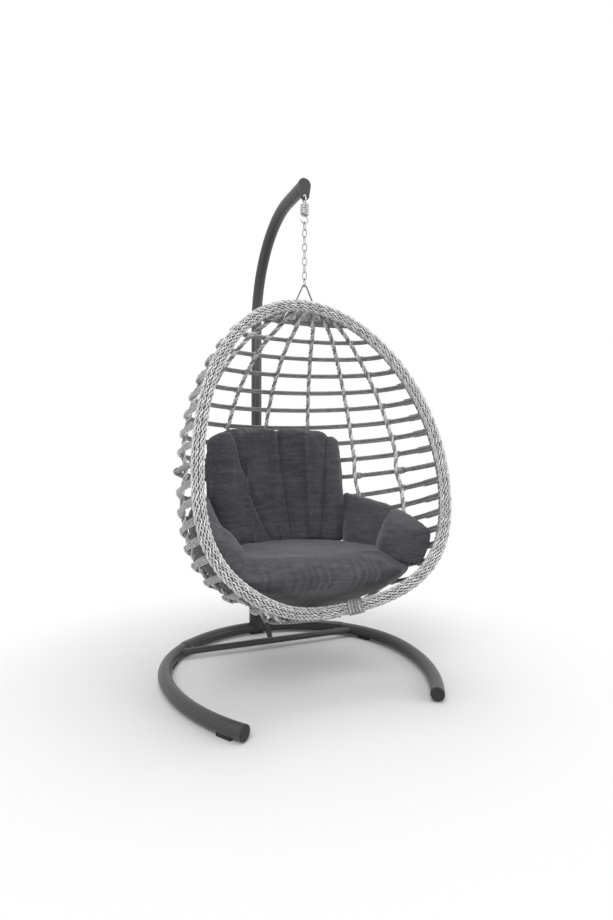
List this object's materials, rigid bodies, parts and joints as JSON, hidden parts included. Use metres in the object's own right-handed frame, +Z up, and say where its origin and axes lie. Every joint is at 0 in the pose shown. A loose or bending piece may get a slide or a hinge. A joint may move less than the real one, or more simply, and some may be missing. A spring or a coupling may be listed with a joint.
{
  "type": "hanging egg chair",
  "caption": "Free-standing hanging egg chair: woven basket with cushions on a chain and spring, under a curved tube stand with an open round base.",
  "frame": {"origin": "On the floor, under the middle of the stand's width and depth.", "axes": "+X to the right for someone who looks at the open front, +Y from the open front towards the post at the back, +Z up."},
  "size_m": [1.074, 1.0494, 1.9649],
  "materials": {
    "stand": "charcoal powder coat, satin",
    "plug": "moulded, fine grain",
    "screw": "blackened steel",
    "spring": "zinc plated",
    "chain": "zinc plated",
    "hanger": "zinc plated rod",
    "rim_weave": "mixed pale and dark grey flat strands",
    "strap_weave": "dark grey round and flat strands",
    "rope_weave": "twisted pale and dark grey strands",
    "cushion": "dark grey slubbed weave"
  },
  "bodies": {
    "stand": {"leg_right": "stand", "leg_left": "stand", "base_rear_tube": "stand", "sleeve_screws": "screw", "crossbar_screws": "screw", "crossbar": "stand", "leg_plug_right": "plug", "leg_plug_left": "plug", "foot_pads": "plug", "post_socket": "stand", "post_lower": "stand", "post_arm": "stand", "post_screws": "screw", "socket_strut": "stand", "arm_end_plate": "stand"},
    "spring_eye": {"spring": "spring"},
    "chain_top": {"chain_upper_links": "chain"},
    "chain_bottom": {"chain_lower_links": "chain"},
    "basket": {"hanger_loop": "hanger", "rim": "rim_weave", "rear_hoop": "strap_weave", "rim_binding": "rim_weave", "belt": "strap_weave", "belt_wraps": "rope_weave", "upper_strap_1": "strap_weave", "upper_strap_2": "strap_weave", "upper_strap_3": "strap_weave", "upper_strap_4": "strap_weave", "upper_strap_5": "strap_weave", "upper_strap_6": "strap_weave", "upper_strap_7": "strap_weave", "upper_strap_8": "strap_weave", "upper_strap_9": "strap_weave", "lower_strap_1": "strap_weave", "lower_strap_2": "strap_weave", "lower_strap_3": "strap_weave", "lower_strap_4": "strap_weave", "lower_strap_5": "strap_weave", "lower_strap_6": "strap_weave", "lower_strap_7": "strap_weave", "lower_strap_8": "strap_weave", "rope_1": "rope_weave", "rope_2": "rope_weave", "rope_3": "rope_weave", "rope_4": "rope_weave", "rope_5": "rope_weave", "rope_6": "rope_weave", "rope_7": "rope_weave", "crown_fan": "rope_weave", "bottom_ring": "rope_weave", "bottom_mat": "rope_weave", "back_cushion": "cushion", "arm_cushion_right": "cushion", "arm_cushion_left": "cushion", "seat_cushion": "cushion"}
  },
  "joints": [
    {"name": "swing_fore_aft", "type": "hinge", "parent": "stand", "child": "spring_eye", "pos_m": [0, -0.13329, 1.88071], "axis": [1, 0, 0], "range_deg": [-12, 2]},
    {"name": "spring_stretch", "type": "slide", "parent": "spring_eye", "child": "chain_top", "axis": [0, 0, -1], "range_m": [0, 0.03], "stiffness_N_per_m": 20000, "springref_m": -0.015, "deforming": ["spring"]},
    {"name": "swing_sideways", "type": "hinge", "parent": "chain_top", "child": "chain_bottom", "pos_m": [0, -0.13329, 1.67006], "axis": [0, 1, 0], "range_deg": [-10, 10]},
    {"name": "basket_turn", "type": "hinge", "parent": "chain_bottom", "child": "basket", "pos_m": [0, -0.13329, 1.53163], "axis": [0, 0, 1], "range_deg": [-30, 30]}
  ]
}
